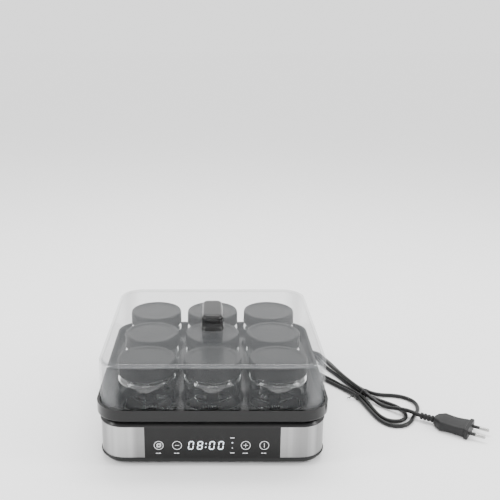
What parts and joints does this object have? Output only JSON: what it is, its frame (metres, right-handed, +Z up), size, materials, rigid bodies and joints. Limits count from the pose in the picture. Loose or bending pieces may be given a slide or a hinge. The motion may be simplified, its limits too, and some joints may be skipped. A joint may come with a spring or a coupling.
{
  "type": "yogurt maker",
  "caption": "Square countertop yogurt maker: heated base with touch panel, removable jar rack, screw-capped glass jars, clear lift-off cover with a bar handle, and a bundled mains cord.",
  "frame": {"origin": "on the floor under the middle of the base", "axes": "+Z up, control panel facing -Y, +X to the right seen from the front"},
  "size_m": [0.4564, 0.322, 0.139],
  "materials": {
    "housing_black": "satin moulded",
    "band_steel": "brushed around the band",
    "panel_black": "polished",
    "rubber_black": "matt",
    "screw_steel": "bright zinc",
    "board_green": "solder resist",
    "display_dark": "satin",
    "plate_grey": "satin non-stick coating",
    "trim_metal": "bare rolled edge",
    "foil_aluminium": "rolled",
    "sensor_white": "satin",
    "wire_white": "satin",
    "cord_black": "satin sheath",
    "tie_black": "satin",
    "plug_black": "fine texture",
    "pin_metal": "nickel plated",
    "sleeve_black": "satin",
    "rack_black": "glossy moulded",
    "clear_plastic": "clear moulded plastic",
    "handle_black": "polished",
    "jar_glass": "clear pressed glass",
    "seal_white": "soft foam",
    "cap_black": "satin gloss moulded",
    "display_white": "lit segments",
    "legend_white": "printed"
  },
  "bodies": {
    "base": {"bottom_housing": "housing_black", "top_housing": "housing_black", "steel_band": "band_steel", "control_panel": "panel_black", "rubber_feet": "rubber_black", "housing_screws": "screw_steel", "board_screws": "screw_steel", "power_board": "board_green", "control_board": "board_green", "display_module": "display_dark", "touch_springs": "screw_steel", "heating_plate": "plate_grey", "plate_trim": "trim_metal", "plate_screw": "screw_steel", "heating_element": "foil_aluminium", "heat_shield": "foil_aluminium", "temperature_sensor": "sensor_white", "thermal_fuse": "sensor_white", "wiring_loom": "wire_white", "cord_clamp": "housing_black", "clamp_screws": "screw_steel", "cord_gland": "cord_black", "mains_cord": "cord_black", "cord_hank": "cord_black", "cord_tie": "tie_black", "plug_body": "plug_black", "plug_pins": "pin_metal"},
    "rack": {"jar_rack": "rack_black"},
    "cover": {"cover": "clear_plastic", "handle_gasket": "rubber_black", "cover_handle": "handle_black", "handle_screws": "screw_steel"},
    "jar_front_left": {"jar_front_left": "jar_glass"},
    "seal_front_left": {"seal_front_left": "seal_white"},
    "cap_front_left": {"cap_front_left": "cap_black"},
    "jar_front_centre": {"jar_front_centre": "jar_glass"},
    "seal_front_centre": {"seal_front_centre": "seal_white"},
    "cap_front_centre": {"cap_front_centre": "cap_black"},
    "jar_front_right": {"jar_front_right": "jar_glass"},
    "seal_front_right": {"seal_front_right": "seal_white"},
    "cap_front_right": {"cap_front_right": "cap_black"},
    "jar_middle_left": {"jar_middle_left": "jar_glass"},
    "seal_middle_left": {"seal_middle_left": "seal_white"},
    "cap_middle_left": {"cap_middle_left": "cap_black"},
    "jar_middle_centre": {"jar_middle_centre": "jar_glass"},
    "seal_middle_centre": {"seal_middle_centre": "seal_white"},
    "cap_middle_centre": {"cap_middle_centre": "cap_black"},
    "jar_middle_right": {"jar_middle_right": "jar_glass"},
    "seal_middle_right": {"seal_middle_right": "seal_white"},
    "cap_middle_right": {"cap_middle_right": "cap_black"},
    "jar_rear_left": {"jar_rear_left": "jar_glass"},
    "seal_rear_left": {"seal_rear_left": "seal_white"},
    "cap_rear_left": {"cap_rear_left": "cap_black"},
    "jar_rear_centre": {"jar_rear_centre": "jar_glass"},
    "seal_rear_centre": {"seal_rear_centre": "seal_white"},
    "cap_rear_centre": {"cap_rear_centre": "cap_black"},
    "jar_rear_right": {"jar_rear_right": "jar_glass"},
    "seal_rear_right": {"seal_rear_right": "seal_white"},
    "cap_rear_right": {"cap_rear_right": "cap_black"}
  },
  "joints": [
    {"name": "rack_lift", "type": "slide", "parent": "base", "child": "rack", "axis": [0, 0, 1], "range_m": [0, 0.076]},
    {"name": "cover_lift", "type": "slide", "parent": "rack", "child": "cover", "axis": [0, 0, 1], "range_m": [0, 0.205]},
    {"name": "jar_front_left_lift", "type": "slide", "parent": "rack", "child": "jar_front_left", "axis": [0, 0, 1], "range_m": [0, 0.1]},
    {"name": "cap_front_left_rise", "type": "slide", "parent": "jar_front_left", "child": "seal_front_left", "axis": [0, 0, 1], "range_m": [0, 0.0045]},
    {"name": "cap_front_left_turn", "type": "hinge", "parent": "seal_front_left", "child": "cap_front_left", "pos_m": [-0.074, -0.074, 0.1], "axis": [0, 0, -1], "range_deg": [-270, 0]},
    {"name": "jar_front_centre_lift", "type": "slide", "parent": "rack", "child": "jar_front_centre", "axis": [0, 0, 1], "range_m": [0, 0.1]},
    {"name": "cap_front_centre_rise", "type": "slide", "parent": "jar_front_centre", "child": "seal_front_centre", "axis": [0, 0, 1], "range_m": [0, 0.0045]},
    {"name": "cap_front_centre_turn", "type": "hinge", "parent": "seal_front_centre", "child": "cap_front_centre", "pos_m": [0, -0.074, 0.1], "axis": [0, 0, -1], "range_deg": [-270, 0]},
    {"name": "jar_front_right_lift", "type": "slide", "parent": "rack", "child": "jar_front_right", "axis": [0, 0, 1], "range_m": [0, 0.1]},
    {"name": "cap_front_right_rise", "type": "slide", "parent": "jar_front_right", "child": "seal_front_right", "axis": [0, 0, 1], "range_m": [0, 0.0045]},
    {"name": "cap_front_right_turn", "type": "hinge", "parent": "seal_front_right", "child": "cap_front_right", "pos_m": [0.074, -0.074, 0.1], "axis": [0, 0, -1], "range_deg": [-270, 0]},
    {"name": "jar_middle_left_lift", "type": "slide", "parent": "rack", "child": "jar_middle_left", "axis": [0, 0, 1], "range_m": [0, 0.1]},
    {"name": "cap_middle_left_rise", "type": "slide", "parent": "jar_middle_left", "child": "seal_middle_left", "axis": [0, 0, 1], "range_m": [0, 0.0045]},
    {"name": "cap_middle_left_turn", "type": "hinge", "parent": "seal_middle_left", "child": "cap_middle_left", "pos_m": [-0.074, 0, 0.1], "axis": [0, 0, -1], "range_deg": [-270, 0]},
    {"name": "jar_middle_centre_lift", "type": "slide", "parent": "rack", "child": "jar_middle_centre", "axis": [0, 0, 1], "range_m": [0, 0.1]},
    {"name": "cap_middle_centre_rise", "type": "slide", "parent": "jar_middle_centre", "child": "seal_middle_centre", "axis": [0, 0, 1], "range_m": [0, 0.0045]},
    {"name": "cap_middle_centre_turn", "type": "hinge", "parent": "seal_middle_centre", "child": "cap_middle_centre", "pos_m": [0, 0, 0.1], "axis": [0, 0, -1], "range_deg": [-270, 0]},
    {"name": "jar_middle_right_lift", "type": "slide", "parent": "rack", "child": "jar_middle_right", "axis": [0, 0, 1], "range_m": [0, 0.1]},
    {"name": "cap_middle_right_rise", "type": "slide", "parent": "jar_middle_right", "child": "seal_middle_right", "axis": [0, 0, 1], "range_m": [0, 0.0045]},
    {"name": "cap_middle_right_turn", "type": "hinge", "parent": "seal_middle_right", "child": "cap_middle_right", "pos_m": [0.074, 0, 0.1], "axis": [0, 0, -1], "range_deg": [-270, 0]},
    {"name": "jar_rear_left_lift", "type": "slide", "parent": "rack", "child": "jar_rear_left", "axis": [0, 0, 1], "range_m": [0, 0.1]},
    {"name": "cap_rear_left_rise", "type": "slide", "parent": "jar_rear_left", "child": "seal_rear_left", "axis": [0, 0, 1], "range_m": [0, 0.0045]},
    {"name": "cap_rear_left_turn", "type": "hinge", "parent": "seal_rear_left", "child": "cap_rear_left", "pos_m": [-0.074, 0.074, 0.1], "axis": [0, 0, -1], "range_deg": [-270, 0]},
    {"name": "jar_rear_centre_lift", "type": "slide", "parent": "rack", "child": "jar_rear_centre", "axis": [0, 0, 1], "range_m": [0, 0.1]},
    {"name": "cap_rear_centre_rise", "type": "slide", "parent": "jar_rear_centre", "child": "seal_rear_centre", "axis": [0, 0, 1], "range_m": [0, 0.0045]},
    {"name": "cap_rear_centre_turn", "type": "hinge", "parent": "seal_rear_centre", "child": "cap_rear_centre", "pos_m": [0, 0.074, 0.1], "axis": [0, 0, -1], "range_deg": [-270, 0]},
    {"name": "jar_rear_right_lift", "type": "slide", "parent": "rack", "child": "jar_rear_right", "axis": [0, 0, 1], "range_m": [0, 0.1]},
    {"name": "cap_rear_right_rise", "type": "slide", "parent": "jar_rear_right", "child": "seal_rear_right", "axis": [0, 0, 1], "range_m": [0, 0.0045]},
    {"name": "cap_rear_right_turn", "type": "hinge", "parent": "seal_rear_right", "child": "cap_rear_right", "pos_m": [0.074, 0.074, 0.1], "axis": [0, 0, -1], "range_deg": [-270, 0]}
  ],
  "couplings": [
    {"joint": "jar_front_left_lift", "follows": "cover_lift", "ratio": 0.4875},
    {"joint": "cap_front_left_turn", "follows": "cap_front_left_rise", "rad_per_m": -1047.2},
    {"joint": "jar_front_centre_lift", "follows": "cover_lift", "ratio": 0.4875},
    {"joint": "cap_front_centre_turn", "follows": "cap_front_centre_rise", "rad_per_m": -1047.2},
    {"joint": "jar_front_right_lift", "follows": "cover_lift", "ratio": 0.4875},
    {"joint": "cap_front_right_turn", "follows": "cap_front_right_rise", "rad_per_m": -1047.2},
    {"joint": "jar_middle_left_lift", "follows": "cover_lift", "ratio": 0.4875},
    {"joint": "cap_middle_left_turn", "follows": "cap_middle_left_rise", "rad_per_m": -1047.2},
    {"joint": "jar_middle_centre_lift", "follows": "cover_lift", "ratio": 0.4875},
    {"joint": "cap_middle_centre_turn", "follows": "cap_middle_centre_rise", "rad_per_m": -1047.2},
    {"joint": "jar_middle_right_lift", "follows": "cover_lift", "ratio": 0.4875},
    {"joint": "cap_middle_right_turn", "follows": "cap_middle_right_rise", "rad_per_m": -1047.2},
    {"joint": "jar_rear_left_lift", "follows": "cover_lift", "ratio": 0.4875},
    {"joint": "cap_rear_left_turn", "follows": "cap_rear_left_rise", "rad_per_m": -1047.2},
    {"joint": "jar_rear_centre_lift", "follows": "cover_lift", "ratio": 0.4875},
    {"joint": "cap_rear_centre_turn", "follows": "cap_rear_centre_rise", "rad_per_m": -1047.2},
    {"joint": "jar_rear_right_lift", "follows": "cover_lift", "ratio": 0.4875},
    {"joint": "cap_rear_right_turn", "follows": "cap_rear_right_rise", "rad_per_m": -1047.2}
  ]
}
